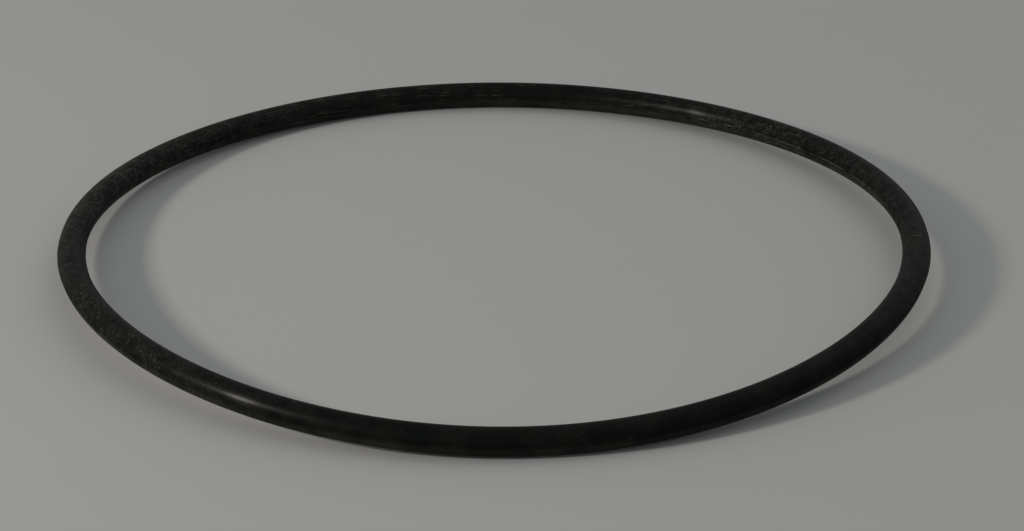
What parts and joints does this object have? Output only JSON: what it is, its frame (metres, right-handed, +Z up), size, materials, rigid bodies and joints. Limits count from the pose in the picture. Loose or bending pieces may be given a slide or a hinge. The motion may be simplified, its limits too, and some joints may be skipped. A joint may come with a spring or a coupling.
{
  "type": "rubber o-ring",
  "caption": "Round black rubber sealing ring of round section, with a fine trimmed mould line, lying slightly sprung on a flat surface.",
  "frame": {"origin": "on the resting surface, under the middle of the ring", "axes": "+Z up along the ring's axis; the ring touches the surface at its +Y and -Y ends, and its +X and -X sides stand off it"},
  "size_m": [0.0961, 0.096, 0.0048],
  "materials": {
    "nitrile_rubber": "satin black nitrile rubber with dust and a faint grey bloom"
  },
  "bodies": {
    "root": {"o_ring": "nitrile_rubber"}
  },
  "joints": []
}
